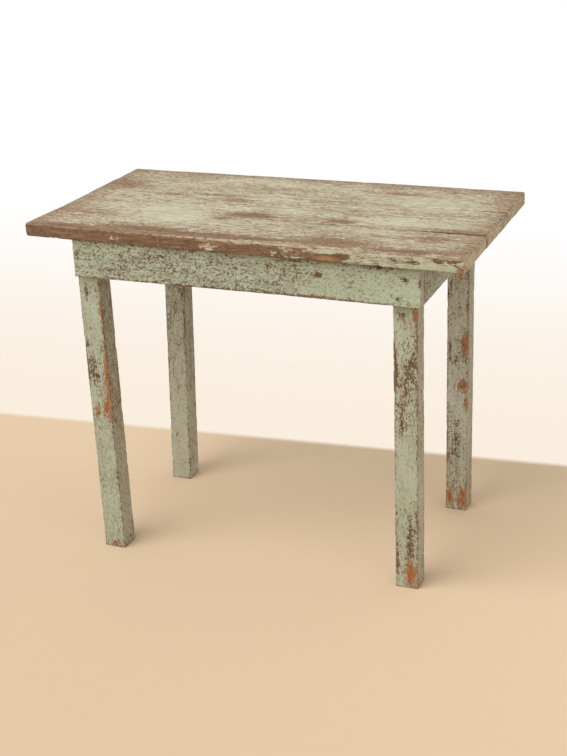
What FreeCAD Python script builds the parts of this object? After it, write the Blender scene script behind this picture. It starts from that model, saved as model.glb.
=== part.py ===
import FreeCAD, Part
import os
from FreeCAD import Rotation, Vector

# A plank-topped work table. Three butted boards are nailed to a frame of four square legs.
# The end aprons are tenoned and pegged between the legs, and the long aprons are nailed across them.
# Lengths are in millimetres. X runs along the table, Y from front to back and Z up.
# The origin is on the floor under the middle of the top.

# Top
table_length = 954.0
table_width = 514.0          # at the right end
table_height = 760.0
top_thickness = 28.0
front_board_width = 166.0    # at its right end
rear_board_width = 176.5
front_edge_skew = 14.0       # the front board is narrower by this at its left end
left_end_flare = 7.0         # the front board's left end is sawn askew and longest at the front
board_gap = 0.3
top_corner_radius = 9.0
top_arris_radius = 3.0
seam_arris_radius = 1.0

# Legs: square for the depth of the joints, then running to feet that stand out of true
leg_width = 50.0
foot_width = 50.5
leg_arris_radius = 2.5
left_leg_inset = 103.0       # front corner of the top to the outer face of the left legs
right_leg_inset = 103.5
knee_land = 2.0              # square leg left below the end aprons
front_left_drift_x = 7.5     # how far each foot stands from below its leg's top
front_left_drift_y = -4.5
rear_left_drift_y = -40.0
front_right_drift_x = -7.0
front_right_drift_y = 30.5
rear_right_drift_y = 6.0

# Long aprons
long_apron_thickness = 20.0
long_apron_height = 82.0
long_apron_bow = 1.0         # rise of the lower edge at mid-span
apron_arris_radius = 1.5
front_overhang = 19.5        # the top's front right corner past the front apron
rear_overhang = 5.5
front_apron_left_short = 6.3     # leg showing beyond the apron's left end
front_apron_right_past = 13.0    # apron past the right leg's outer face

# End aprons, with their ends cut to tenons
end_apron_thickness = 21.0
end_apron_height = 99.5
end_apron_setback = 0.5
tenon_thickness = 10.0
tenon_length = 32.0
tenon_shoulder = 12.0        # cut away below the tenon
tenon_haunch = 20.0          # cut away above the tenon
tenon_fit = 0.2
tenon_end_gap = 0.8

# Pegs through the tenons, shaved to eight sides
peg_sides = 8
peg_diameter = 8.0
peg_length = 34.0
peg_inset = 13.0             # shoulder line to peg axis
peg_spacing = 34.0
peg_fit = 0.15

# Battens across the underside of the boards
batten_width = 45.0
batten_thickness = 20.0
batten_spacing = 300.0
batten_end_gap = 0.5
batten_nail_stagger = 16.0

# Cut nails: a flat head on a shank that narrows one way only
nail_head_length = 7.0
nail_head_width = 4.6
nail_head_thickness = 1.5
nail_shank_depth = 4.4
nail_shank_width = 2.6
nail_tip_depth = 1.8
nail_fit = 0.15
nail_set = 0.4               # heads are punched this far below the face
top_nail_length = 62.0
apron_nail_length = 48.0
batten_nail_length = 42.0

# Nail places, as shares of the wood that the two pieces have in common
long_apron_nail_shares = (0.05, 0.35, 0.65, 0.95)
leg_nail_shares = (0.27, 0.75)
board_nail_shares = {"front": (0.3, 0.7), "middle": (0.2, 0.8), "rear": (0.5,)}
batten_nail_shares = (0.22, 0.78)

arc_middle_share = 0.5 ** 0.5    # middle of a quarter arc, as a share of its radius
overrun = 5.0

# Places worked out from the sizes
half_length = table_length / 2
half_width = table_width / 2
underside = table_height - top_thickness
left_face = left_leg_inset - half_length
right_face = half_length - right_leg_inset
leg_front = front_overhang + long_apron_thickness - half_width
leg_back = half_width - rear_overhang - long_apron_thickness
shoulder_front = leg_front + leg_width
shoulder_back = leg_back - leg_width
front_seam = front_board_width - half_width
rear_seam = half_width - rear_board_width
long_apron_foot = underside - long_apron_height
end_apron_foot = underside - end_apron_height
tenon_foot = end_apron_foot + tenon_shoulder
tenon_head = underside - tenon_haunch
tenon_offset = end_apron_setback + (end_apron_thickness - tenon_thickness) / 2
batten_foot = underside - batten_thickness

board_spans = {
    "front": (-half_width, front_seam),
    "middle": (front_seam + board_gap, rear_seam),
    "rear": (rear_seam + board_gap, half_width),
}

INTO_TOP = Vector(0, 0, 1)
DOWN = Vector(0, 0, -1)
BACKWARD = Vector(0, 1, 0)
FORWARD = Vector(0, -1, 0)


def block(low, high):
    """Box between two corners."""
    size = high - low
    return Part.makeBox(size.x, size.y, size.z, low)


def prism(points, pull):
    """Solid of a closed outline pulled along a vector."""
    outline = Part.makePolygon(points + points[:1])
    return Part.Face(outline).extrude(pull)


def level_edges(solid, height):
    """Edges of a solid that lie at one height."""
    slack = seam_arris_radius / 2
    return [edge for edge in solid.Edges
            if abs(edge.BoundBox.ZMin - height) < slack and abs(edge.BoundBox.ZMax - height) < slack]


def on_line(edge, y):
    """True when an edge runs along the table at the given Y."""
    slack = seam_arris_radius / 2
    return abs(edge.BoundBox.YMin - y) < slack and abs(edge.BoundBox.YMax - y) < slack


def upright_edges(solid, y):
    """Vertical edges of a board on the side away from the given seam."""
    return [edge for edge in solid.Edges
            if edge.BoundBox.ZLength > edge.BoundBox.XLength + edge.BoundBox.YLength
            and abs(edge.BoundBox.YMin - y) > seam_arris_radius]


def board(outline, seams, corner_seam):
    """Board of the top, with its outer arrises and corners worn round and its seam arrises eased."""
    corners = [Vector(x, y, underside) for x, y in outline]
    solid = prism(corners, Vector(0, 0, top_thickness))
    if corner_seam is not None:
        solid = solid.makeFillet(top_corner_radius, upright_edges(solid, corner_seam))
    rims = level_edges(solid, table_height) + level_edges(solid, underside)
    outer = [edge for edge in rims if not any(on_line(edge, seam) for seam in seams)]
    solid = solid.makeFillet(top_arris_radius, outer)
    inner = [edge for edge in level_edges(solid, table_height) if any(on_line(edge, seam) for seam in seams)]
    return solid.makeFillet(seam_arris_radius, inner)


def top_boards():
    """The three boards by their place, before nailing."""
    seams = {
        "front": [front_seam],
        "middle": [front_seam + board_gap, rear_seam],
        "rear": [rear_seam + board_gap],
    }
    solids = {}
    for place, (low, high) in board_spans.items():
        square_left = left_end_flare - half_length
        left_front = (square_left, low)
        if place == "front":
            left_front = (-half_length, low + front_edge_skew)
        left_side = [(square_left, high), left_front]
        right_side = [(half_length, low), (half_length, high)]
        corner_seam = None if place == "middle" else seams[place][0]
        solids[place] = board(left_side + right_side, seams[place], corner_seam)
    return solids


def rounded_square(centre, width):
    """Square outline with rounded corners, level, about a centre."""
    reach = width / 2
    flat = reach - leg_arris_radius
    lean = leg_arris_radius * arc_middle_share
    edges = []
    for turn in range(4):
        spin = Rotation(Vector(0, 0, 1), turn * 90)
        side = [Vector(reach, -flat, 0), Vector(reach, flat, 0)]
        arc = [Vector(reach, flat, 0), Vector(flat + lean, flat + lean, 0), Vector(flat, reach, 0)]
        side = [centre + spin.multVec(point) for point in side]
        arc = [centre + spin.multVec(point) for point in arc]
        edges.append(Part.LineSegment(*side).toShape())
        edges.append(Part.Arc(*arc).toShape())
    return Part.Wire(edges)


def leg(centre_x, centre_y, drift_x, drift_y):
    """Leg that is square at its joints and runs out of true to its foot."""
    knee = end_apron_foot - knee_land
    sections = [
        rounded_square(Vector(centre_x + drift_x, centre_y + drift_y, 0), foot_width),
        rounded_square(Vector(centre_x, centre_y, knee), leg_width),
        rounded_square(Vector(centre_x, centre_y, underside), leg_width),
    ]
    return Part.makeLoft(sections, True, True)


def long_apron(left, right, front):
    """Long apron whose lower edge is hollowed along its length."""
    foot = long_apron_foot
    corners = [Vector(left, front, foot), Vector(left, front, underside),
               Vector(right, front, underside), Vector(right, front, foot)]
    middle = Vector((left + right) / 2, front, foot + long_apron_bow)
    edges = [Part.LineSegment(a, b).toShape() for a, b in zip(corners, corners[1:])]
    edges.append(Part.Arc(corners[3], middle, corners[0]).toShape())
    solid = Part.Face(Part.Wire(edges)).extrude(Vector(0, long_apron_thickness, 0))
    lower = [edge for edge in solid.Edges
             if edge.BoundBox.XLength > table_length / 2 and edge.BoundBox.ZMax < underside]
    return solid.makeFillet(apron_arris_radius, lower)


def tenon(outer_face, inward, grow):
    """Bar that runs through both end joints at tenon size, or at mortise size when grown."""
    near = outer_face + inward * (tenon_offset - grow)
    far = outer_face + inward * (tenon_offset + tenon_thickness + grow)
    reach = tenon_length + (tenon_end_gap if grow else 0)
    low = Vector(min(near, far), shoulder_front - reach, tenon_foot - grow)
    high = Vector(max(near, far), shoulder_back + reach, tenon_head + grow)
    return block(low, high)


def end_apron(outer_face, inward):
    """End apron between its two legs, with a tenon at each end."""
    near = outer_face + inward * end_apron_setback
    far = near + inward * end_apron_thickness
    low = Vector(min(near, far), shoulder_front, end_apron_foot)
    high = Vector(max(near, far), shoulder_back, underside)
    body = block(low, high)
    lower = [edge for edge in level_edges(body, end_apron_foot) if edge.BoundBox.YLength > leg_width]
    body = body.makeFillet(apron_arris_radius, lower)
    return body.fuse(tenon(outer_face, inward, 0)).removeSplitter()


def peg_places():
    """Outer end and direction of each peg."""
    middle = (tenon_foot + tenon_head) / 2
    for outer_face, inward in ((left_face, 1), (right_face, -1)):
        for y in (shoulder_front - peg_inset, shoulder_back + peg_inset):
            for z in (middle - peg_spacing / 2, middle + peg_spacing / 2):
                yield Vector(outer_face, y, z), Vector(inward, 0, 0)


def pegs(grow):
    """Shaved pegs flush with the legs' outer faces, or their holes when grown."""
    spoke = Vector(0, 0, peg_diameter / 2 + grow)
    lead = overrun if grow else 0
    rods = []
    for point, inward in peg_places():
        start = point - inward * lead
        turns = [Rotation(inward, side * 360 / peg_sides) for side in range(peg_sides)]
        corners = [start + turn.multVec(spoke) for turn in turns]
        rods.append(prism(corners, inward * (lead + peg_length + grow)))
    return Part.makeCompound(rods)


def cut_nail(length, grow):
    """Cut nail driven along Y from a face at zero, or its hole when grown."""
    crown = -overrun if grow else nail_set
    neck = nail_set + nail_head_thickness + grow
    tip = nail_set + length + grow
    head_x, head_z = nail_head_length / 2 + grow, nail_head_width / 2 + grow
    neck_x, tip_x = nail_shank_depth / 2 + grow, nail_tip_depth / 2 + grow
    shank_z = nail_shank_width / 2 + grow
    head = block(Vector(-head_x, crown, -head_z), Vector(head_x, neck, head_z))
    shank = Part.makeWedge(-neck_x, neck, -shank_z, -shank_z, -tip_x, neck_x, tip, shank_z, shank_z, tip_x)
    return head.fuse(shank).removeSplitter()


def nails(places, length, grow):
    """A group of nails, each driven at a point in a direction."""
    driven = []
    for point, direction in places:
        one = cut_nail(length, grow)
        one.Placement = FreeCAD.Placement(point, Rotation(BACKWARD, direction))
        driven.append(one)
    return Part.makeCompound(driven)


def between(low, high, share):
    """Point a share of the way from low to high."""
    return low + (high - low) * share


def long_nail_places(y):
    """Top nails along a long apron, kept between the legs."""
    first, last = left_face + leg_width, right_face - leg_width
    return [(Vector(between(first, last, share), y, table_height), DOWN) for share in long_apron_nail_shares]


def end_nail_places(x):
    """Top nails along an end apron, through each board where it crosses the apron."""
    places = []
    for name, (low, high) in board_spans.items():
        first, last = max(low, shoulder_front), min(high, shoulder_back)
        for share in board_nail_shares[name]:
            places.append((Vector(x, between(first, last, share), table_height), DOWN))
    return places


def leg_nail_places(y, direction):
    """Apron nails into the middle of each of two legs."""
    places = []
    for x in (left_face + leg_width / 2, right_face - leg_width / 2):
        for share in leg_nail_shares:
            places.append((Vector(x, y, between(long_apron_foot, underside, share)), direction))
    return places


def batten_nail_places(x):
    """Nails up through a batten, two to a board, stepped from side to side."""
    places = []
    for low, high in board_spans.values():
        first, last = max(low, leg_front), min(high, leg_back)
        for index, share in enumerate(batten_nail_shares):
            step = batten_nail_stagger * (index - 0.5)
            places.append((Vector(x + step, between(first, last, share), batten_foot), INTO_TOP))
    return places


def batten(x):
    """Batten across the underside of the boards, between the long aprons."""
    low = Vector(x - batten_width / 2, leg_front + batten_end_gap, batten_foot)
    high = Vector(x + batten_width / 2, leg_back - batten_end_gap, underside)
    solid = block(low, high)
    lower = [edge for edge in level_edges(solid, batten_foot) if edge.BoundBox.YLength > batten_width]
    return solid.makeFillet(apron_arris_radius, lower)


def legs():
    """The four legs by their place, mortised for the end aprons."""
    left, right = left_face + leg_width / 2, right_face - leg_width / 2
    front, back = leg_front + leg_width / 2, leg_back - leg_width / 2
    plain = {
        "front_left_leg": leg(left, front, front_left_drift_x, front_left_drift_y),
        "rear_left_leg": leg(left, back, 0, rear_left_drift_y),
        "front_right_leg": leg(right, front, front_right_drift_x, front_right_drift_y),
        "rear_right_leg": leg(right, back, 0, rear_right_drift_y),
    }
    mortises = [tenon(left_face, 1, tenon_fit), tenon(right_face, -1, tenon_fit)]
    return {name: solid.cut(mortises) for name, solid in plain.items()}


# Each group of nails: its places, its length and the pieces that it holds
end_apron_middle = end_apron_setback + end_apron_thickness / 2
front_apron_middle = leg_front - long_apron_thickness / 2
rear_apron_middle = leg_back + long_apron_thickness / 2
left_batten_x = (left_face + right_face) / 2 - batten_spacing / 2
right_batten_x = left_batten_x + batten_spacing
boards = ["top_front_board", "top_middle_board", "top_rear_board"]
nail_groups = {
    "front_apron_nails": (leg_nail_places(leg_front - long_apron_thickness, BACKWARD), apron_nail_length,
                          ["front_apron", "front_left_leg", "front_right_leg"]),
    "rear_apron_nails": (leg_nail_places(leg_back + long_apron_thickness, FORWARD), apron_nail_length,
                         ["rear_apron", "rear_left_leg", "rear_right_leg"]),
    "top_front_nails": (long_nail_places(front_apron_middle), top_nail_length,
                        ["top_front_board", "front_apron"]),
    "top_rear_nails": (long_nail_places(rear_apron_middle), top_nail_length,
                       ["top_rear_board", "rear_apron"]),
    "top_left_nails": (end_nail_places(left_face + end_apron_middle), top_nail_length,
                       boards + ["left_end_apron"]),
    "top_right_nails": (end_nail_places(right_face - end_apron_middle), top_nail_length,
                        boards + ["right_end_apron"]),
    "left_batten_nails": (batten_nail_places(left_batten_x), batten_nail_length, boards + ["left_batten"]),
    "right_batten_nails": (batten_nail_places(right_batten_x), batten_nail_length, boards + ["right_batten"]),
}

parts = {"top_" + place + "_board": solid for place, solid in top_boards().items()}
parts["front_apron"] = long_apron(left_face + front_apron_left_short, right_face + front_apron_right_past,
                                  leg_front - long_apron_thickness)
parts["rear_apron"] = long_apron(left_face, right_face, leg_back)
parts["left_end_apron"] = end_apron(left_face, 1)
parts["right_end_apron"] = end_apron(right_face, -1)
parts["left_batten"] = batten(left_batten_x)
parts["right_batten"] = batten(right_batten_x)
parts.update(legs())

# Bore the peg and nail holes
for name in parts:
    if name.endswith("leg") or name.endswith("end_apron"):
        parts[name] = parts[name].cut(pegs(peg_fit).Solids)
for places, length, held in nail_groups.values():
    holes = nails(places, length, nail_fit).Solids
    for name in held:
        parts[name] = parts[name].cut(holes)

parts["tenon_pegs"] = pegs(0)
for name, (places, length, held) in nail_groups.items():
    parts[name] = nails(places, length, 0)

os.makedirs("parts", exist_ok=True)
for name, shape in parts.items():
    shape.exportStep("parts/" + name + ".step")
    box = shape.BoundBox
    print(name, "solids", len(shape.Solids), "volume", round(shape.Volume), "valid", shape.isValid(),
          "size", round(box.XLength, 1), round(box.YLength, 1), round(box.ZLength, 1))
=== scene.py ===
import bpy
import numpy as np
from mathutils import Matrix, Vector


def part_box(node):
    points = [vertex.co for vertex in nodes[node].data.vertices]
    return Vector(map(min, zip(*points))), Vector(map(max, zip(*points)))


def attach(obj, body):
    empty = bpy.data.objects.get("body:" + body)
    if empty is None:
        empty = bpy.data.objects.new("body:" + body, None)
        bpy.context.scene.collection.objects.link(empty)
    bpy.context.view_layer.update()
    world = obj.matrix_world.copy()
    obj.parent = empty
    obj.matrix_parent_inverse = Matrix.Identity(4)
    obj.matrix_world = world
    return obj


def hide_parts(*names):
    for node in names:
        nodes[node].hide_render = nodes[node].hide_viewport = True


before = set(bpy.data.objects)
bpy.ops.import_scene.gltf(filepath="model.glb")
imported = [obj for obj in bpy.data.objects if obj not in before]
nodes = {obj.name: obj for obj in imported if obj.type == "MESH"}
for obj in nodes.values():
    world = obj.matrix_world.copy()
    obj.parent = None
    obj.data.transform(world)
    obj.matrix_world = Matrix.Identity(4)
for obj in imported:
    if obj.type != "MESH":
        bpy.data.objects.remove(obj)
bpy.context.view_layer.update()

# %% [markdown]
# # A worn work table
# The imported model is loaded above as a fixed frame. It already holds every board, leg, peg and nail at its
# real place. What it lacks is age: arrises that hands have rounded, paint that has chipped and grain that
# shows through. Each board, apron and leg is therefore made again as a dense surface over its own solid,
# always worn inwards, so that the table never grows. The nails, pegs and battens keep their solids.

mm = 0.001

# %% [markdown]
# ## The viewpoint
# The photograph is taken from standing height, from the right of the front. The eye, its turn, its tilt and
# a slight roll were found by matching the table's corners. A camera could be aimed with a constraint, but a
# matrix written from these few numbers also gives the line of sight through any pixel, which is used later
# to put a patch of wear where it is seen.

# %% Camera
image_width, image_height = 567, 756
focal_pixels = 1347.1
sensor_long_side = 36.0
eye = np.array([1.0709, -2.5723, 1.5115])
turn, tilt, roll = np.radians([-22.629, 22.294, -2.298])

ahead = np.array([np.sin(turn) * np.cos(tilt), np.cos(turn) * np.cos(tilt), -np.sin(tilt)])
level_right = np.array([np.cos(turn), -np.sin(turn), 0.0])
level_up = np.cross(level_right, ahead)
right = np.cos(roll) * level_right + np.sin(roll) * level_up
up = np.cos(roll) * level_up - np.sin(roll) * level_right


def placed_axes(side, above, behind, place):
    """Matrix of an object that stands at a place, with its own X, Y and Z along the three given ways."""
    axes = np.column_stack([side, above, behind, place])
    return Matrix(np.vstack([axes, [0, 0, 0, 1]]).tolist())


camera_data = bpy.data.cameras.new("viewpoint")
camera_data.sensor_width = sensor_long_side
camera_data.lens = focal_pixels * sensor_long_side / image_height
camera = bpy.data.objects.new("viewpoint", camera_data)
camera.matrix_world = placed_axes(right, up, -ahead, eye)
bpy.context.scene.collection.objects.link(camera)
bpy.context.scene.camera = camera
print("lens", round(camera_data.lens, 2), "mm; eye", eye)

# %% Lines of sight
pixel_middle = 0.5


def seen_at(pixel_x, pixel_y, point, normal):
    """Where the line of sight through the middle of a pixel meets the plane through a point with a normal."""
    sideways = (pixel_x + pixel_middle - image_width / 2) / focal_pixels
    upwards = (image_height / 2 - pixel_y - pixel_middle) / focal_pixels
    sight = ahead + sideways * right + upwards * up
    reach = np.dot(np.asarray(point) - eye, normal) / np.dot(sight, normal)
    return eye + reach * sight


floor_level, upright = (0.0, 0.0, 0.0), (0.0, 0.0, 1.0)
print("the image's middle meets the floor at", np.round(seen_at(283, 378, floor_level, upright), 2))

# %% [markdown]
# ## Node trees in a few words
# Every material below is a tree of nodes. Made one by one they take many lines, so a small class adds a node,
# fills its sockets and gives back the one output that is wanted. Shades are written as they look on a screen,
# and are turned into the linear numbers that the shaders work with.

# %% Helpers for node trees
along_x, along_y, along_z = 0, 1, 2
mix_share, mix_first, mix_second, mix_result = 0, 6, 7, 2    # the colour sockets of a Mix node


class FinishTree:
    """Node tree of a new material, whose noise is stretched along the grain."""

    def __init__(self, name, grain_axis=along_x, offset=(0.0, 0.0, 0.0)):
        self.material = bpy.data.materials.new(name)
        self.material.use_nodes = True
        self.nodes, self.links = self.material.node_tree.nodes, self.material.node_tree.links
        self.surface = self.nodes["Principled BSDF"]
        self.place = self.add("TexCoord").outputs["Object"]
        self.grain_axis, self.offset = grain_axis, offset

    def fill(self, node, sockets):
        """Gives each named socket of a node a value or a link."""
        for key, value in sockets.items():
            if isinstance(value, bpy.types.NodeSocket):
                self.links.new(value, node.inputs[key])
            else:
                node.inputs[key].default_value = value

    def add(self, kind, sockets=None, **settings):
        """New node with its settings made and its sockets filled."""
        made = self.nodes.new("ShaderNode" + kind)
        for key, value in settings.items():
            setattr(made, key, value)
        self.fill(made, sockets or {})
        return made

    def sum(self, operation, first, second, clamp=False):
        """Result of one sum on two numbers or sockets."""
        settings = {"operation": operation, "use_clamp": clamp}
        return self.add("Math", {0: first, 1: second}, **settings).outputs[0]

    def times(self, first, second):
        """Product of two values."""
        return self.sum("MULTIPLY", first, second)

    def total(self, first, *others):
        """Sum of all values."""
        for other in others:
            first = self.sum("ADD", first, other)
        return first

    def weighed(self, layers, shares):
        """List of the named layers of noise, each taken about its middle and times its share."""
        return [self.times(self.sum("SUBTRACT", layers[key], 0.5), share) for key, share in shares.items()]

    def vectors(self, operation, first, second, output="Vector"):
        """Result of one sum on two vectors or sockets."""
        return self.add("VectorMath", {0: first, 1: second}, operation=operation).outputs[output]

    def step(self, value, ends):
        """Rises smoothly from 0 to 1 as the value goes from the first end to the second."""
        sockets = {"Value": value, "From Min": ends[0], "From Max": ends[1]}
        return self.add("MapRange", sockets, interpolation_type="SMOOTHSTEP").outputs[0]

    def mix(self, share, first, second, blend="MIX"):
        """Goes from the first colour to the second as the share goes from 0 to 1."""
        sockets = {mix_share: share, mix_first: first, mix_second: second}
        return self.add("Mix", sockets, data_type="RGBA", blend_type=blend).outputs[mix_result]

    def mask(self, key):
        """A point attribute of the mesh, or 0 where the mesh has none of that name."""
        return self.add("Attribute", attribute_name=key).outputs["Fac"]

    def stretched(self, vector, stretch):
        """The vector with less of the grain's axis, so that a pattern read from it is long that way."""
        sizes = [1.0, 1.0, 1.0]
        sizes[self.grain_axis] = stretch
        return self.add("Mapping", {"Vector": vector, "Location": self.offset, "Scale": sizes}).outputs[0]

    def noise(self, scale, stretch, detail, roughness=0.6, output="Fac"):
        """Noise with so many cells to a metre across the grain."""
        sockets = {"Scale": scale, "Detail": detail, "Roughness": roughness}
        sockets["Vector"] = self.stretched(self.place, stretch)
        return self.add("TexNoise", sockets).outputs[output]

    def close(self, height, strength, depth, **sockets):
        """Fills the shader and gives it a bump of the height, and gives back the material."""
        bump = self.add("Bump", {"Height": height, "Strength": strength, "Distance": depth})
        self.fill(self.surface, {"Normal": bump.outputs[0], **sockets})
        return self.material


def shade(red, green, blue):
    """Linear colour of a shade that is named as it looks, from 0 to 255, by the sRGB curve."""
    looks = np.array([red, green, blue]) / 255
    linear = np.where(looks > 0.04045, ((looks + 0.055) / 1.055) ** 2.4, looks / 12.92)
    return (*linear.tolist(), 1.0)


print("a middle grey is", round(shade(128, 128, 128)[0], 3), "in linear light")

# %% [markdown]
# ## The floor
# The floor is one pale sheet whose colour changes slowly from darker at the front to lighter at the back, a
# painted shade. Behind the table, past the line where the photograph shows a skirting, it turns white for
# the eye only. That gives a clean background without a wall, which would hide the table from behind, and
# the shadows near the feet stay.

# %% Floor sheet
floor_reach = 14.0
corner_signs = np.array([[-1, -1, 0], [1, -1, 0], [1, 1, 0], [-1, 1, 0]])
floor_mesh = bpy.data.meshes.new("floor")
floor_mesh.from_pydata((corner_signs * floor_reach).tolist(), [], [[0, 1, 2, 3]])
floor = bpy.data.objects.new("floor", floor_mesh)
bpy.context.scene.collection.objects.link(floor)
print("floor", 2 * floor_reach, "m square")

# %% Floor finish
# Painted shade: the floor runs from the darker near colour at the front to the far colour at the back.
shaded_near_floor, far_floor = shade(207, 183, 153), shade(231, 206, 174)
floor_slope, slope_ends = (0.45, 0.9, 0.0), (-1.3, 0.6)
floor_roughness, floor_gloss = 0.85, 0.1
skirting_pixels = [(0, 415), (567, 468)]
white_edge, haze_depth = (0.0, 0.03), (0.0, 2.3)
haze_shade, white_shade = shade(250, 238, 222), shade(255, 255, 255)


def unit(vector):
    """The vector at length 1."""
    return vector / np.linalg.norm(vector)


sheet = FinishTree("pale_floor")
slope = sheet.step(sheet.vectors("DOT_PRODUCT", sheet.place, floor_slope, "Value"), slope_ends)
sheet.fill(sheet.surface, {
    "Base Color": sheet.mix(slope, shaded_near_floor, far_floor),
    "Roughness": floor_roughness,
    "Specular IOR Level": floor_gloss,
})

skirting_left, skirting_right = [seen_at(*pixel, floor_level, upright) for pixel in skirting_pixels]
back_way = unit(np.cross(upright, skirting_right - skirting_left))
backward = sheet.vectors("DOT_PRODUCT", sheet.place, back_way.tolist(), "Value")
beyond = sheet.sum("SUBTRACT", backward, float(back_way @ skirting_left))
path = sheet.add("LightPath").outputs
shown = sheet.sum("MAXIMUM", path["Is Camera Ray"], path["Is Glossy Ray"])
pale = sheet.mix(sheet.step(beyond, haze_depth), haze_shade, white_shade)
white = sheet.add("Emission", {"Color": pale, "Strength": 1.0})
share = sheet.times(sheet.step(beyond, white_edge), shown)
cover = sheet.add("MixShader", {0: share, 1: sheet.surface.outputs[0], 2: white.outputs[0]})
sheet.fill(sheet.nodes["Material Output"], {"Surface": cover.outputs[0]})
floor_mesh.materials.append(sheet.material)
print("floor turns white beyond", np.round(skirting_left, 2), np.round(skirting_right, 2))

# %% [markdown]
# ## The light
# The light is soft and plain: a broad lamp from the front left, a weak warm one from the right and a pale
# sky all round, at a level where a colour renders about as it is written.

# %% Lamps and sky
lamps = {
    "window": ((-1.6, -2.6, 4.0), 4.2, 155.0, shade(255, 255, 255)),
    "warm_fill": ((2.8, -1.7, 1.5), 2.5, 10.5, shade(255, 232, 214)),
}
lamp_target = np.array([0.0, 0.0, 0.55])
sky_shade, sky_strength = shade(255, 253, 250), 0.69

for name, (lamp_place, lamp_size, lamp_power, lamp_shade) in lamps.items():
    lamp_data = bpy.data.lights.new(name, "AREA")
    lamp_data.shape = "DISK"
    lamp_data.size = lamp_size
    lamp_data.energy = lamp_power
    lamp_data.color = lamp_shade[:3]
    lamp = bpy.data.objects.new(name, lamp_data)
    aim = unit(lamp_target - lamp_place)
    lamp_side = unit(np.cross(aim, upright))
    lamp.matrix_world = placed_axes(lamp_side, np.cross(lamp_side, aim), -aim, lamp_place)
    bpy.context.scene.collection.objects.link(lamp)

sky = bpy.data.worlds.new("pale_sky")
sky.use_nodes = True
sky.node_tree.nodes["Background"].inputs["Color"].default_value = sky_shade
sky.node_tree.nodes["Background"].inputs["Strength"].default_value = sky_strength
bpy.context.scene.world = sky
bpy.context.scene.view_settings.view_transform = "Standard"
print("lamps", list(lamps), "and a sky of strength", sky_strength)

# %% [markdown]
# ## Cloudy numbers
# Wear is never even, so the surfaces and their masks need random values that change smoothly from place to
# place. Blender has such noise in its textures, but here it has to bend the mesh as well, so it is worked
# out with numpy: fixed random numbers sit on a lattice and are blended between its corners. The same seed
# always gives the same table.

# %% Lattice noise
lattice_strides = np.array([73856093, 19349663, 83492791], dtype=np.int64)
seed_stride = 2654435761
bit_mixers = {13: 1274126177, 15: 2246822519}    # shift and factor of each mixing step
last_shift = 16
word, half_word = 0xFFFFFFFF, 0xFFFF
layer_shift = 17


def lattice_value(cell, seed):
    """Number from 0 to 1 that depends only on a lattice cell and a seed, by mixing the bits of both."""
    bits = (cell * lattice_strides).sum(-1) + seed * seed_stride
    for shift, factor in bit_mixers.items():
        bits = ((bits ^ (bits >> shift)) * factor) & word
    return ((bits ^ (bits >> last_shift)) & half_word) / half_word


def lattice_noise(points, seed):
    """Lattice values blended over each cell, with weights that are smooth steps of the place inside it."""
    cell = np.floor(points).astype(np.int64)
    inside = points - cell
    inside = inside * inside * (3 - 2 * inside)
    total = 0.0
    for corner in np.ndindex(2, 2, 2):
        weight = np.prod(np.where(corner, inside, 1 - inside), axis=-1)
        total = total + weight * lattice_value(cell + np.array(corner), seed)
    return total


def cloud(points, size, seed, layers=3):
    """Layers of lattice noise, each half as large and half as strong as the last, from 0 to 1.
    The size of the largest cells is given in millimetres, as one number or along X, Y and Z."""
    cells = points / (np.asarray(size, float) * mm)
    strengths = 0.5 ** np.arange(layers)
    total = 0.0
    for layer, strength in enumerate(strengths):
        total = total + strength * lattice_noise(cells * 2 ** layer + layer_shift * layer, seed + layer)
    return total / strengths.sum()


print("noise sample", np.round(cloud(np.array([[0.1, 0.2, 0.3]]), 40, 5), 4))


# %% Soft steps and fades for arrays
def rise(value, low, high):
    """Smooth step from 0 at low to 1 at high."""
    share = np.clip((value - low) / (high - low), 0, 1)
    return share * share * (3 - 2 * share)


def fade(distance, reach):
    """Falls from 1 at no distance as exp(-(distance / reach)^2), with the reach in millimetres."""
    return np.exp(-(distance / (reach * mm)) ** 2)


print("a fade of 5 mm is down to", round(float(fade(5 * mm, 5)), 3), "after 5 mm")

# %% [markdown]
# ## A bar of wood as one closed surface
# Boards, aprons and legs are all bars: a rectangle with rounded corners carried along a length. A cube with
# a bevel would give the outline, but not the many small faces that wear needs. Here one grid wraps the whole
# bar. Its rings start at a point in the middle of one end, widen over that end, turn over its rounded rim,
# run along the bar and close at the other end in the same way.


# %% Ring round a section
def section_ring(half_a, half_b, radius, spacing, arc_steps=4):
    """Ring round a rounded rectangle, as shares of its flats and as outward directions.
    A ring point lies at share * (half size - radius) + radius * direction, in each of the two ways."""
    quarter = np.linspace(0, np.pi / 2, arc_steps, endpoint=False)
    shares, directions = [], []
    for side in range(4):
        flat = (half_b if side % 2 == 0 else half_a) - radius
        steps = max(2, int(round(2 * flat / spacing)))
        run = np.linspace(-1, 1, steps, endpoint=False)
        local_share = np.concatenate([np.column_stack([np.ones(steps), run]), np.ones((arc_steps, 2))])
        angle = np.concatenate([np.zeros(steps), quarter])
        spin = side * np.pi / 2
        turned = np.round([[np.cos(spin), np.sin(spin)], [-np.sin(spin), np.cos(spin)]])
        shares.append(local_share @ turned)
        directions.append(np.column_stack([np.cos(angle + spin), np.sin(angle + spin)]))
    return np.concatenate(shares), np.concatenate(directions)


print("a ring round a leg has", len(section_ring(25 * mm, 25 * mm, 2.5 * mm, 2 * mm)[0]), "points")


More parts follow.
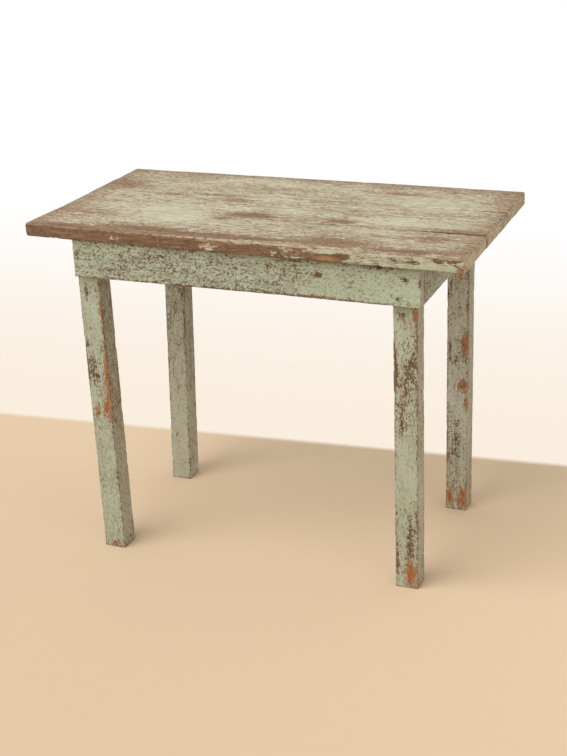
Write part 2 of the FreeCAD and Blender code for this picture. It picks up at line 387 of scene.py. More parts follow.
# %% Bar from rings
def bar_grid(length, half_a, half_b, radius, rim, spacing, rim_steps=4):
    """Closed bar about its own middle: grid of places (along, a, b), ring by ring.
    Over the ends the rings are scaled sections, over the rims they follow a quarter circle."""
    halves = np.array([half_a, half_b])
    share, direction = section_ring(half_a, half_b, radius, spacing)
    ring = share * (halves - radius) + radius * direction
    quarter = np.linspace(0, np.pi / 2, rim_steps + 1)
    rim_along, rim_inset = rim * (1 - np.sin(quarter)), rim * (1 - np.cos(quarter))
    rim_scale = 1 - rim_inset[::-1, None] / halves
    cap_steps = max(4, int(round(min(half_a, half_b) / spacing)))
    cap_scale = np.linspace(0, 1, cap_steps, endpoint=False)[:, None] * rim_scale[0]
    body_steps = max(4, int(round((length - 2 * rim) / spacing)))
    body = np.linspace(rim, length - rim, body_steps + 1)[1:-1]
    start_along = np.concatenate([np.zeros(cap_steps), rim_along[::-1]])
    start_scale = np.concatenate([cap_scale, rim_scale])
    along = np.concatenate([start_along, body, length - start_along[::-1]]) - length / 2
    scale = np.concatenate([start_scale, np.ones((len(body), 2)), start_scale[::-1]])
    grid = np.empty((len(along), len(ring), 3))
    grid[..., 0] = along[:, None]
    grid[..., 1:] = scale[:, None, :] * ring[None]
    return grid


test_bar = bar_grid(0.1, 0.01, 0.02, mm, mm, 5 * mm)
print("a test bar has rings and points", test_bar.shape[:2])

# %% Edges and normals
tiny = 1e-12


def edge_distance(grid, length, half_a, half_b):
    """Distance of each point from the bar's nearest edge: the second least of its distances to the faces."""
    gaps = np.array([length / 2, half_a, half_b]) - np.abs(grid)
    return np.sort(gaps, axis=-1)[..., 1]


def outward_normals(grid):
    """Unit normals: each quad has the cross product of its diagonals, and a point takes the sum of the quads
    round it, so thin quads count for little. All are turned to point outwards."""
    beside = np.roll(grid, -1, axis=1)
    quads = np.cross(beside[1:] - grid[:-1], beside[:-1] - grid[1:])
    quads = quads + np.roll(quads, 1, axis=1)
    normal = np.zeros_like(grid)
    normal[:-1] += quads
    normal[1:] += quads
    normal[0], normal[-1] = normal[0].sum(0), normal[-1].sum(0)
    size = np.linalg.norm(normal, axis=-1, keepdims=True)
    normal = normal / np.maximum(size, tiny)
    out = grid - grid.reshape(-1, 3).mean(0)
    return normal if (normal * out).sum() > 0 else -normal


print("least normal of the test bar", np.linalg.norm(outward_normals(test_bar), axis=-1).min().round(3))


# %% Mesh of a piece
def piece_from_grid(name, grid, masks, material):
    """Mesh object of a closed grid: quads between rings, a fan at each pole, masks as point attributes."""
    rings, around = grid.shape[:2]
    points = np.concatenate([grid[:1, 0], grid[1:-1].reshape(-1, 3), grid[-1:, 0]])
    first = 1 + np.arange((rings - 2) * around).reshape(rings - 2, around)
    after = np.roll(first, -1, axis=1)
    quads = np.stack([first[:-1], after[:-1], after[1:], first[1:]], axis=-1).reshape(-1, 4)
    last_point = len(points) - 1
    near_fan = np.column_stack([np.zeros(around, int), after[0], first[0]])
    far_fan = np.column_stack([np.full(around, last_point), first[-1], after[-1]])
    a, b, c = points[quads[:, 0]], points[quads[:, 1]], points[quads[:, 2]]
    if np.einsum("ij,ij->i", a, np.cross(b, c)).sum() < 0:
        quads, near_fan, far_fan = quads[:, ::-1], near_fan[:, ::-1], far_fan[:, ::-1]
    mesh = bpy.data.meshes.new(name)
    mesh.from_pydata(points.tolist(), [], quads.tolist() + near_fan.tolist() + far_fan.tolist())
    mesh.polygons.foreach_set("use_smooth", np.ones(len(mesh.polygons), bool))
    for key, mask in masks.items():
        values = np.concatenate([mask[:1, 0], mask[1:-1].reshape(-1), mask[-1:, 0]])
        mesh.attributes.new(key, "FLOAT", "POINT").data.foreach_set("value", values.astype(np.float32))
    mesh.materials.append(material)
    piece = bpy.data.objects.new(name, mesh)
    bpy.context.scene.collection.objects.link(piece)
    return piece


def dress(name, points, masks, material):
    """Piece that rides on the table, stands for its own solid and takes that solid's finish.
    Points that noise has pushed out of the solid's box are brought back to it."""
    points = np.clip(points, *[np.array(corner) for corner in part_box(name)])
    piece = piece_from_grid("worn_" + name, points, masks, material)
    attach(piece, "root")
    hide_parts(name)
    print(piece.name, "points", points.shape[:2], "bare mean", round(float(masks["bare"].mean()), 3))


# %% [markdown]
# ## Where the wear lies
# Large patches of wear are painted on the mesh as point attributes, and the material breaks their edges up
# into chips. A few patches are painted shade or a painted highlight instead of wear. Each patch is named,
# and is given by the pixel where it is seen, by its reach along and across the grain in millimetres and by
# its amount, so it can be read against the photograph. Image textures would be simpler, but they would tie
# the table to one picture.

# %% Patches
shift_cells, drift_cells = 30, 45
drift_seed, drift_share = 40, 3


def patch_mask(points, patches, plane_point, plane_normal, grain, seed, raggedness=9.0):
    """Sum of soft ellipses along a grain direction, on points that are first shifted by noise.
    An ellipse fades as exp(-(along / reach)^2 - (across / reach)^2)."""
    grain = np.asarray(grain, float)
    normal = np.asarray(plane_normal, float)
    across = np.cross(normal, grain)
    shift = (cloud(points, shift_cells, seed) - 0.5) * raggedness * mm
    drift = (cloud(points, drift_cells, seed + drift_seed) - 0.5) * drift_share * raggedness * mm
    total = np.zeros(points.shape[:-1])
    for pixel_x, pixel_y, reach_along, reach_across, amount in patches.values():
        offset = points - seen_at(pixel_x, pixel_y, plane_point, normal)
        u = (offset @ grain + drift) / (reach_along * mm)
        v = (offset @ across + shift) / (reach_across * mm)
        total += amount * np.exp(-u * u - v * v)
    return total


print("patches are placed by sight lines from", eye)

# %% Worn faces and arrises
hollow_depth, hollow_cells = 0.35, 70
rub_cells, rub_seed = 55, 3
bite_cells, bite_seed, bite_starts = 16, 7, (0.58, 0.8)
arris_reach = 5
sole_land = 4 * mm


def worn_depth(points, edge, seed, arris_loss, bite_loss):
    """How far the surface is worn in, in metres: a slow hollowing of the faces, more along the arrises,
    and bites out of the arrises where noise is high, but nothing at the floor, so that the soles stay flat.
    The losses are given in millimetres."""
    hollow = hollow_depth * cloud(points, hollow_cells, seed)
    rub_and_highlight = arris_loss * cloud(points, rub_cells, seed + rub_seed) ** 2
    bites = bite_loss * rise(cloud(points, bite_cells, seed + bite_seed), *bite_starts)
    depth = (hollow + fade(edge, arris_reach) * (rub_and_highlight + bites)) * mm
    return depth * rise(points[..., 2], 0.0, sole_land)


print("faces are hollowed by up to", hollow_depth, "mm")

# %% [markdown]
# ## Aged paint
# The finish is one recipe for every painted member. Wood lies below: its tone runs from dark brown to greyed
# beige, and fresh chips are orange. Paint lies on top: sage green, chalky cream where it has been scrubbed.
# A chip appears where the painted mask plus noise of several sizes passes a half, so the same noise gives
# a few specks where the mask is low and bare wood where it is high. All noise is stretched along the grain
# and read from object coordinates, and the paint stands a little above the wood by a bump. Two steps about
# the same place, a crisp one and a soft one, give chips with hard edges or a thin wash.

# %% Loss of paint
loss_layers = ("blotch", "chip", "speck", "fleck", "streak")
layer_detail, layer_roughness = 4.0, 0.65
fibre_noise, hair_noise, wander_noise = (480.0, 0.025, 4.0), (260.0, 0.03, 3.0), (90.0, 1.0, 2.0)
dash_detail, dash_roughness = 3.0, 0.55
crack_warp = 5.0 * mm
crack_edge = (0.10, 0.0)
crisp_edge, washed_edge = (0.46, 0.56), (0.30, 0.72)


def grain_layers(finish, noises):
    """The noises of one paint by name: those that break the paint up, and fibres, hairs and dashes."""
    layers = {key: finish.noise(*noises[key][:2], layer_detail, layer_roughness) for key in loss_layers}
    layers["fibre"], layers["hair"] = finish.noise(*fibre_noise), finish.noise(*hair_noise)
    layers["dash"] = finish.noise(*noises["dash"][:2], dash_detail, dash_roughness)
    return layers


def crazing(finish, scale, stretch, strength):
    """Cracks along the borders of cells, read from places that noise has shifted, so none is straight."""
    wander = finish.noise(*wander_noise, output="Color")
    bent = finish.vectors("ADD", finish.place, finish.vectors("MULTIPLY", wander, (crack_warp,) * 3))
    sockets = {"Vector": finish.stretched(bent, stretch), "Scale": scale}
    cells = finish.add("TexVoronoi", sockets, feature="DISTANCE_TO_EDGE")
    return finish.times(finish.step(cells.outputs["Distance"], crack_edge), strength)


def paint_loss(finish, layers, noises):
    """The loss of paint, which is the mask plus the cracks plus each noise by its strength, and the share
    of bare wood that it gives. Where the wash mask is high, the edge of the paint is soft."""
    strengths = {key: noises[key][2] for key in loss_layers}
    cracks = crazing(finish, *noises["crack"])
    loss = finish.total(finish.mask("bare"), cracks, *finish.weighed(layers, strengths))
    crisp = finish.step(loss, crisp_edge)
    washed = finish.sum("SUBTRACT", finish.step(loss, washed_edge), crisp)
    return loss, finish.total(crisp, finish.times(washed, finish.mask("wash")))


print("paint is broken up by", loss_layers)

# %% [markdown]
# ### Wood below and paint above
# Bare wood is a ramp of browns by mask and grain. Where the wear is fresh it turns ochre, then orange. The
# paint is mixed from five shades that were read off clean spots: green, cream, a greyed one, a cool one and
# the brownish one where it is rubbed thin.

# %% Wood and paint
wood_tones = {
    0.0: shade(78, 57, 42), 0.35: shade(118, 90, 67), 0.65: shade(150, 120, 94), 1.0: shade(186, 166, 138),
}
ochre_wood, orange_wood = shade(168, 128, 86), shade(164, 98, 62)
tone_shares, fresh_shares = {"fibre": 1.1, "streak": 0.6, "speck": 1.1}, {"chip": 1.4, "speck": 2.0}
ochre_step, orange_step, dark_speck_step = (0.1, 0.5), (0.5, 0.9), (0.5, 0.75)

green_paint, cream_paint = shade(173, 186, 165), shade(211, 203, 173)
weathered_paint, cool_paint = shade(184, 177, 159), shade(201, 207, 197)
mottle_shade = shade(234, 231, 226)
chalk_shares, rub_shares, rub_strength = {"streak": 0.5}, {"fibre": 0.5}, 0.6
thin_shares = {"streak": 0.6, "fibre": 0.4}
mottle_shares = {"blotch": 0.3, "speck": 0.35, "fleck": 0.35}
thin_step, mottle_step, rub_step = (0.3, 0.6), (0.42, 0.58), (0.18, 0.58)


def worn_wood(finish, layers):
    """Tone by mask and grain on a ramp, then ochre and orange by the fresh mask, darker in the specks."""
    tone = finish.total(finish.mask("tone"), *finish.weighed(layers, tone_shares))
    ramp = finish.add("ValToRGB", {"Fac": tone})
    stops = ramp.color_ramp.elements
    for place_on_ramp, colour in list(wood_tones.items())[1:-1]:
        stops.new(place_on_ramp).color = colour
    stops[0].color, stops[-1].color = wood_tones[0.0], wood_tones[1.0]
    fresh = finish.times(finish.mask("fresh"), finish.total(1.0, *finish.weighed(layers, fresh_shares)))
    wood = finish.mix(finish.step(fresh, ochre_step), ramp.outputs[0], ochre_wood)
    wood = finish.mix(finish.step(fresh, orange_step), wood, orange_wood)
    darker = finish.mix(0.5, wood, wood_tones[0.0])
    return finish.mix(finish.step(layers["speck"], dark_speck_step), wood, darker)


def old_paint(finish, layers, loss, rub_shade):
    """Green towards cream by the chalk mask, greyed and cooled by their masks, mottled, and rubbed thin
    where the loss is nearly enough for a chip."""
    thin, mottle = [
        finish.total(*[finish.times(layers[key], share) for key, share in shares.items()])
        for shares in (thin_shares, mottle_shares)
    ]
    chalk = finish.sum("ADD", finish.mask("chalk"), *finish.weighed(layers, chalk_shares), clamp=True)
    paint = finish.mix(chalk, green_paint, cream_paint)
    greyed = finish.times(finish.mask("weather"), finish.step(thin, thin_step))
    paint = finish.mix(greyed, paint, weathered_paint)
    paint = finish.mix(finish.mask("cool"), paint, cool_paint)
    mottled = finish.mix(1.0, paint, mottle_shade, "MULTIPLY")
    paint = finish.mix(finish.step(mottle, mottle_step), paint, mottled)
    rub_and_highlight = finish.step(finish.total(loss, *finish.weighed(layers, rub_shares)), rub_step)
    return finish.mix(finish.times(rub_and_highlight, rub_strength), paint, rub_shade)


print("wood runs through", len(wood_tones), "tones")

# %% [markdown]
# ### Dirt and painted shade, hairlines and relief
# Over paint and wood alike lie dirt, drying cracks along the grain and short dark dashes where the paint is
# thin. The same darkening also paints shade: under the top on the front apron and on the heads of the legs.
# The same values also give the roughness and a fine bump, so that colour and relief agree.

# %% Aged paint material
# This darkening colour serves both real dirt and painted shade: the shadow line under the top and the shade
# on the legs' heads.
grime_and_shadow_colour, hairline_shade = shade(172, 158, 142), shade(92, 72, 56)
dirt_and_shade_shares, grime_and_shade_step = {"speck": 1.2}, (0.25, 0.75)
hair_step, weather_hairs = (0.62, 0.70), 0.35
dash_step, dash_loss_step = (0.57, 0.61), (0.1, 0.55)
paint_roughness, wood_roughness, paint_gloss = 0.6, 0.85, 0.3
chip_height, relief_shares, line_height = -1.0, {"fibre": 0.5, "speck": 0.5}, -0.8
paint_relief = (0.55, 0.5 * mm)


def marks_along_grain(finish, layers, loss, hairline, dash_strength):
    """Hairlines, of which weathered paint has more, and the hairlines together with dashes in worn places."""
    amount = finish.total(finish.times(finish.mask("weather"), weather_hairs), hairline)
    lines = finish.times(finish.step(layers["hair"], hair_step), amount)
    worn = finish.times(finish.step(loss, dash_loss_step), dash_strength)
    dashes = finish.times(finish.step(layers["dash"], dash_step), worn)
    return lines, finish.sum("MAXIMUM", lines, dashes)


def aged_paint(name, grain_axis, noises, hairline, rub_shade, offset):
    """Chipped paint over wood with its grain along one axis. Each noise has its cells per metre, its stretch
    along the grain and how far it moves the edge of the paint."""
    finish = FinishTree(name, grain_axis, offset)
    layers = grain_layers(finish, noises)
    loss, chipped = paint_loss(finish, layers, noises)
    colour = finish.mix(chipped, old_paint(finish, layers, loss, rub_shade), worn_wood(finish, layers))
    dirt_and_shade = finish.total(layers["streak"], *finish.weighed(layers, dirt_and_shade_shares))
    dulled = finish.times(finish.mask("grime_and_shade"), finish.step(dirt_and_shade, grime_and_shade_step))
    colour = finish.mix(dulled, colour, finish.mix(1.0, colour, grime_and_shadow_colour, "MULTIPLY"))
    lines, marks = marks_along_grain(finish, layers, loss, hairline, noises["dash"][2])
    colour = finish.mix(marks, colour, hairline_shade)
    ends = {"Value": chipped, "To Min": paint_roughness, "To Max": wood_roughness}
    roughness = finish.add("MapRange", ends).outputs[0]
    grain = finish.weighed(layers, relief_shares)
    height = finish.total(finish.times(chipped, chip_height), *grain, finish.times(lines, line_height))
    sockets = {"Base Color": colour, "Roughness": roughness, "Specular IOR Level": paint_gloss}
    return finish.close(height, *paint_relief, **sockets)


print("paint is", paint_roughness, "rough and bare wood", wood_roughness)

# %% [markdown]
# ### Four finishes from one recipe
# The top is scrubbed along its length, the long aprons are finely speckled, and the end aprons and legs have
# longer chips. Each set of numbers gives a noise its cells per metre, its stretch and its strength.

# %% Painted finishes
top_noises = {
    "blotch": (16, 0.5, 0.26), "chip": (70, 0.27, 0.43), "speck": (170, 0.24, 0.95),
    "fleck": (420, 0.28, 1.3), "streak": (140, 0.07, 0.6), "crack": (60, 0.6, 0.06), "dash": (250, 0.32, 0.9),
}
apron_noises = {
    "blotch": (20, 0.6, 0.3), "chip": (90, 0.6, 0.6), "speck": (250, 0.75, 1.2),
    "fleck": (500, 0.7, 0.8), "streak": (200, 0.15, 0.2), "crack": (110, 0.8, 0.12), "dash": (260, 0.4, 0.25),
}
leg_noises = {
    "blotch": (20, 0.45, 0.5), "chip": (110, 0.45, 0.9), "speck": (270, 0.55, 1.2),
    "fleck": (500, 0.6, 1.1), "streak": (180, 0.12, 0.4), "crack": (110, 0.5, 0.14), "dash": (280, 0.35, 0.5),
}
top_rub, frame_rub = shade(170, 148, 122), shade(140, 128, 108)
paints = {    # grain, noises, hairlines, shade where rubbed, place in the noise
    "aged_top_paint": (along_x, top_noises, 0.5, top_rub, (0.0, 0.0, 0.0)),
    "aged_long_apron_paint": (along_x, apron_noises, 0.1, frame_rub, (1.3, 0.4, 0.2)),
    "aged_end_apron_paint": (along_y, leg_noises, 0.25, frame_rub, (2.1, 0.7, 0.5)),
    "aged_leg_paint": (along_z, leg_noises, 0.2, frame_rub, (0.6, 1.9, 0.3)),
}
top_finish, long_apron_finish, end_apron_finish, leg_finish = [
    aged_paint(name, *recipe) for name, recipe in paints.items()]
print("painted finishes", list(paints))

# %% [markdown]
# ## The three boards of the top
# Each board is a bar that fills its own solid's box. The front board was sawn askew: it is longest at the
# front and narrower at its left end, so its grid is sheared both ways to match. The boards stay separate, as
# on the real table. Old paint fills the left part of the seams, and towards the right end they open.


# %% Sizes of the boards
def solid_points(name):
    """All points of a solid's mesh, as an array."""
    mesh = nodes[name].data
    flat = np.empty(len(mesh.vertices) * 3, np.float32)
    mesh.vertices.foreach_get("co", flat)
    return flat.reshape(-1, 3).astype(float)


left_end_reach = 30 * mm
board_names = ["top_front_board", "top_middle_board", "top_rear_board"]
board_boxes = {name: [np.array(corner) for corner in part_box(name)] for name in board_names}
top_low = board_boxes["top_front_board"][0]
top_high = np.array([board_boxes["top_front_board"][1][0], *board_boxes["top_rear_board"][1][1:]])
top_length = top_high[0] - top_low[0]
end_flare = board_boxes["top_middle_board"][0][0] - top_low[0]
left_front = solid_points("top_front_board")
left_front = left_front[left_front[:, 0] < top_low[0] + left_end_reach]
front_skew = left_front[:, 1].min() - top_low[1]
print("top", np.round(top_high - top_low, 4), "end flare", round(end_flare, 4), "skew", round(front_skew, 4))

# %% Corners and seams of a board
board_rim = 3.0 * mm
corner_radius = 9.0 * mm


def round_corners(grid, half_length, half_width, side):
    """Plan corners on one side brought to a quarter circle: inside the corner square, each point keeps its
    direction from the circle's middle and its depth below the outline, which the rim has already rounded."""
    offset_x = np.clip(np.abs(grid[..., 0]) - (half_length - corner_radius), 0, None)
    offset_y = np.clip(side * grid[..., 1] - (half_width - corner_radius), 0, None)
    reach = np.hypot(offset_x, offset_y)
    inner = corner_radius - board_rim
    rim_reach = inner + np.hypot(np.clip(offset_x - inner, 0, None), np.clip(offset_y - inner, 0, None))
    larger = np.maximum(offset_x, offset_y)
    wanted = np.where(larger > inner, rim_reach, larger)
    factor = np.where(reach > 0, wanted / np.maximum(reach, tiny), 1.0)
    rounded = grid.copy()
    rounded[..., 0] -= np.sign(grid[..., 0]) * offset_x * (1 - factor)
    rounded[..., 1] -= side * offset_y * (1 - factor)
    return rounded


def square_seams(grid, half, share):
    """Rounded long edges brought towards square by a share: each point of the quarter circle moves away from
    the circle's middle until the larger of its two offsets is the radius."""
    offset = np.clip(np.abs(grid[..., 1:]) - (half[1:] - board_rim), 0, None)
    larger = offset.max(-1)
    on_edge = (offset.min(-1) > 0) & (np.abs(grid[..., 0]) < half[0] - board_rim)
    growth = np.where(on_edge, share * (board_rim / np.maximum(larger, tiny) - 1), 0)
    squared = grid.copy()
    squared[..., 1:] += np.sign(grid[..., 1:]) * offset * growth[..., None]
    return squared


print("corners of the top have a radius of", corner_radius / mm, "mm")

# %% Grid of a board
board_spacing = 2.4 * mm
seam_opens = (-0.05, 0.25)
seam_fill = 6.0 * mm
outer_sides = {"top_front_board": -1, "top_middle_board": 0, "top_rear_board": 1}


def board_grid(name):
    """Bar in a board's box, with the front board's left end and front edge sheared to their sawn lines.
    Each point also gets its distance from the edge, which counts as larger where the seam is filled."""
    low, high = board_boxes[name]
    size = high - low
    grid = bar_grid(size[0], size[1] / 2, size[2] / 2, board_rim, board_rim, board_spacing)
    gap_x, gap_y, gap_z = np.moveaxis(size / 2 - np.abs(grid), -1, 0)
    outer_side = outer_sides[name]
    filled = 1 - rise(grid[..., 0], *seam_opens)
    filled = np.where(grid[..., 1] * outer_side > 0, 0, filled)
    edge = np.maximum(np.minimum(gap_x, gap_y + filled * seam_fill), gap_z)
    grid = square_seams(grid, size / 2, filled)
    if outer_side:
        grid = round_corners(grid, size[0] / 2, size[1] / 2, outer_side)
    points = grid + (low + high) / 2
    if name == "top_front_board":
        share_left = (high[0] - points[..., 0]) / size[0]
        share_back = (points[..., 1] - low[1]) / size[1]
        points[..., 0] += end_flare * share_left * share_back
        points[..., 1] += front_skew * share_left * (1 - share_back)
    return points, edge


print("seams open between", seam_opens, "m along the top")

# %% [markdown]
# ### Wear on the top and its front edge
# The top has been scrubbed in streaks along the grain, and its front edge has lost most of its paint at the
# left. These are the patches that the eye picks out. Each is (pixel x, pixel y, reach along, reach across,
# amount), and the small chips between them are left to the noise of the paint. One patch on the front edge
# is a painted highlight along its arris.

# %% Patches of the top
top_patches_bare = {
    "streak behind the middle": (218, 194, 62, 9, 0.28),
    "broken patch left of middle": (240, 200, 50, 16, 0.20),
    "strong streak left of middle": (252, 215, 84, 22, 0.46),
    "patch before the streak": (217, 217, 38, 22, 0.33),
    "streak right of middle": (341, 221, 42, 13, 0.40),
    "streak behind it": (338, 203, 55, 8, 0.08),
    "rear right line": (405, 194, 55, 7, 0.35),
    "line along the front seam": (392, 226, 80, 3, 0.14),
    "band behind the front seam": (459, 231, 60, 9, 0.27),
    "front band, middle": (335, 241, 75, 32, 0.34),
    "front band, right": (403, 251, 75, 15, 0.38),
    "before the seam, right": (432, 239, 50, 20, 0.24),
    "front right corner": (455, 252, 36, 14, 0.10),
    "front band, left": (140, 227, 110, 20, 0.38),
    "front band, far left": (62, 224, 75, 12, 0.50),
    "front margin, left": (125, 231, 230, 11, 0.36),
    "front arris": (230, 236, 160, 12, 0.50),
    "left of middle, worn": (95, 211, 70, 30, 0.21),
    "rear left, worn": (126, 183, 60, 36, 0.27),
    "rear left streak": (172, 193, 30, 9, 0.22),
}
top_patches_paint = {
    "large pale patch": (178, 213, 125, 62, 0.32),
    "pale spot, middle": (290, 212, 45, 30, 0.30),
    "pale band, rear": (285, 183, 120, 30, 0.22),
    "pale behind the middle": (275, 198, 110, 22, 0.12),
    "pale right of middle": (405, 223, 88, 24, 0.37),
    "pale rear right": (434, 204, 110, 42, 0.34),
    "pale right": (470, 220, 60, 40, 0.06),
    "pale front of the seam": (390, 233, 70, 14, 0.24),
}
top_patches_ochre = {
    "ochre behind the middle": (342, 183, 70, 26, 0.35),
    "ochre right end": (492, 208, 70, 70, 0.3),
}
print("top patches", len(top_patches_bare), "bare and", len(top_patches_paint), "painted")

# %% Patches of the front edge
edge_patches_bare = {
    "left half of the edge": (110, 232, 300, 40, 0.67),
    "left end of the edge": (36, 231, 50, 30, 0.18),
    "middle of the edge": (235, 246, 165, 40, 0.55),
    "ochre patch": (322, 258, 38, 9, 0.54),
    "dark chip beside it": (341, 257, 14, 7, 0.46),
    "chip left": (392, 260, 9, 8, 0.42),
    "chip right": (410, 261, 20, 6, 0.38),
    "chip near the corner": (440, 261, 13, 6, 0.48),
    "corner chips": (456, 263, 17, 6, 0.46),
    "worn corner": (460, 272, 10, 7, 0.55),
}
edge_patches_paint = {
    "cream specks left": (112, 236, 20, 7, 0.27),
    "pale mark": (158, 242, 3, 14, 0.5),
    "cream specks middle": (207, 244, 36, 13, 0.70),
    "cream specks right": (268, 249, 60, 10, 0.30),
    "cream above the dark chip": (328, 252, 36, 4, 0.40),
}
edge_patches_fresh = {
    "ochre patch": (322, 258, 36, 9, 0.40),
    "worn corner": (460, 272, 10, 7, 0.5),
}
# Painted highlight: a lighter wood tone along the front arris.
edge_patches_highlight = {"painted highlight on the arris": (230, 240, 150, 5, 0.8)}
edge_patches_dark = {key: patch for key, patch in edge_patches_bare.items() if "chip" in key}
print("edge patches", len(edge_patches_bare), "bare, of which", len(edge_patches_dark), "are dark chips")

# %% [markdown]
# ### Masks of a board
# A face of a board is told by the way that its normal points. Each mask starts with an amount for each face.
# The patches, the worn margins, the arrises and the dirt in the open seams are then added to it.

# %% Faces of a board
upper_turn, side_turn, lower_turn = (0.3, 0.8), (0.5, 0.85), (0.75, 0.98)
board_amounts = {
    # Painted light: the in-between faces, such as the rim where a board turns under, get a lighter tone and
    # less bare wood than the underside, for the light from the floor.
    "bare": {"upper": 0.40, "front": 0.20, "ends": 0.2, "lower": 0.9, "between": 0.4},
    "tone": {"upper": 0.74, "front": 0.40, "ends": 1.0, "lower": 0.35, "between": 0.5},
    "chalk": {"upper": 0.75, "front": 0.25, "ends": 0.85},
    "grime_and_shade": {"upper": 0.25, "front": 0.2, "ends": 0.1, "lower": 0.8},
    "wash": {"ends": 0.2},
}
seam_amounts = {"bare": 0.3, "tone": -0.8, "grime_and_shade": 0.9}
seam_lines = {board_boxes["top_front_board"][1][1]: 1.0, board_boxes["top_rear_board"][0][1]: 0.35}
seam_reach, seam_dirt_starts = 3, (0.24, 0.44)


def board_faces(normal):
    """How far each point belongs to the upper face, the front, the ends, the underside or none of them."""
    x, y, z = np.moveaxis(normal, -1, 0)
    faces = {
        "upper": rise(z, *upper_turn),
        "front": rise(-y, *side_turn),
        "ends": rise(np.abs(x), *side_turn),
        "lower": rise(-z, *lower_turn),
    }
    faces["between"] = np.prod([1 - face for face in faces.values()], axis=0)
    return faces


def seam_dirt(x, y):
    """Dirt along the seam lines, from where they open towards the right end."""
    lines = sum(dirt_and_shade * fade(y - line, seam_reach) for line, dirt_and_shade in seam_lines.items())
    return lines * rise(x, *seam_dirt_starts)


print("seams lie at y", [round(float(line), 4) for line in seam_lines])

# %% Masks of the top
grain_x = (1, 0, 0)
right_front = (top_high[0], *top_low[1:])
face_front = unit(np.array([-front_skew, -top_length, 0.0]))
top_plane = (top_high, upright, grain_x)
edge_plane = (right_front, face_front, grain_x)
end_wear, end_wear_reach = 0.24, 42
rear_wear, rear_wear_reach = 0.26, 30
end_grain_loss, end_grain_cells = 0.5, (30, 45, 20)
board_arris_loss, board_arris_reach, board_arris_cells = 0.32, 3.5, 60
streak_tone, dark_chip_tone, highlight_reach = 0.5, 0.4, 5
left_chalk, left_chalk_starts = 0.5, (-0.15, 0.1)
wash_least, wash_gain, wash_starts = 0.1, 0.8, (-0.24, -0.10)
worn_dry, most_dry = 1.6, 0.85


def top_masks(_name, points, normal, edge, seed):
    """Paint loss, wood tone, fresh wood, chalk, grime and wash over a board, by the way each face looks."""
    faces = board_faces(normal)
    upper, front, ends = faces["upper"], faces["front"], faces["ends"]
    x, y = points[..., 0], points[..., 1]
    in_seam = seam_dirt(x, y)
    masks = {key: sum(amount * faces[face] for face, amount in amounts.items())
             for key, amounts in board_amounts.items()}
    for key, amount in seam_amounts.items():
        masks[key] = masks[key] + amount * in_seam

    margins = end_wear * fade(np.minimum(x - top_low[0], top_high[0] - x), end_wear_reach)
    margins += rear_wear * fade(top_high[1] - y, rear_wear_reach)
    on_top = patch_mask(points, top_patches_bare, *top_plane, seed)
    on_top -= patch_mask(points, top_patches_paint, *top_plane, seed + 9)
    on_edge = patch_mask(points, edge_patches_bare, *edge_plane, seed + 1)
    on_edge -= patch_mask(points, edge_patches_paint, *edge_plane, seed + 2)
    arris = fade(edge, board_arris_reach) * cloud(points, board_arris_cells, seed + 5)
    masks["bare"] += upper * (margins + on_top) + front * on_edge + board_arris_loss * arris * (upper + front)
    masks["bare"] += end_grain_loss * ends * cloud(points, end_grain_cells, seed + 8)

    front_line = top_low[1] + front_skew * (top_high[0] - x) / top_length
    rub_and_highlight = patch_mask(points, edge_patches_highlight, *edge_plane, seed + 4)
    dark = patch_mask(points, edge_patches_dark, *edge_plane, seed + 1)
    # Painted highlight: the wood tone is raised within a few millimetres of the front arris.
    masks["tone"] += fade(y - front_line, highlight_reach) * rub_and_highlight
    masks["tone"] -= streak_tone * upper * np.clip(on_top, 0, 1) + dark_chip_tone * front * dark
    fresh = front * patch_mask(points, edge_patches_fresh, *edge_plane, seed + 3)
    fresh += upper * patch_mask(points, top_patches_ochre, *top_plane, seed + 12)
    masks["fresh"] = np.clip(fresh, 0, 1)
    masks["chalk"] += left_chalk * front * rise(-x, *left_chalk_starts)
    wash = upper * (wash_least + wash_gain * rise(y, *wash_starts))
    masks["wash"] += wash * (1 - np.clip(worn_dry * on_top, 0, most_dry))
    return masks


print("board masks", sorted([*board_amounts, "fresh"]))

# %% The boards
mask_step, wear_step = 10, 20


def age(finishes, grid_of, masks_of, mask_seed, wear_seed, losses):
    """Makes each member from its grid, masks it, wears it in along its normals and dresses it.
    Every member has seeds of its own. The losses are those of worn_depth."""
    for index, (name, material) in enumerate(finishes.items()):
        points, edge = grid_of(name)
        normal = outward_normals(points)
        masks = masks_of(name, points, normal, edge, mask_seed + mask_step * index)
        depth = worn_depth(points, edge, wear_seed + wear_step * index, *losses)
        dress(name, points - normal * depth[..., None], masks, material)


board_finishes = dict.fromkeys(board_names, top_finish)
age(board_finishes, board_grid, top_masks, mask_seed=100, wear_seed=200, losses=(2.2, 1.6))

# %% [markdown]
# ## The aprons
# The two long aprons are nailed flat across the legs and their lower edges are slightly hollow. The two end
# aprons sit flush between the legs, with tenons that never show, so only the visible bar is made again.

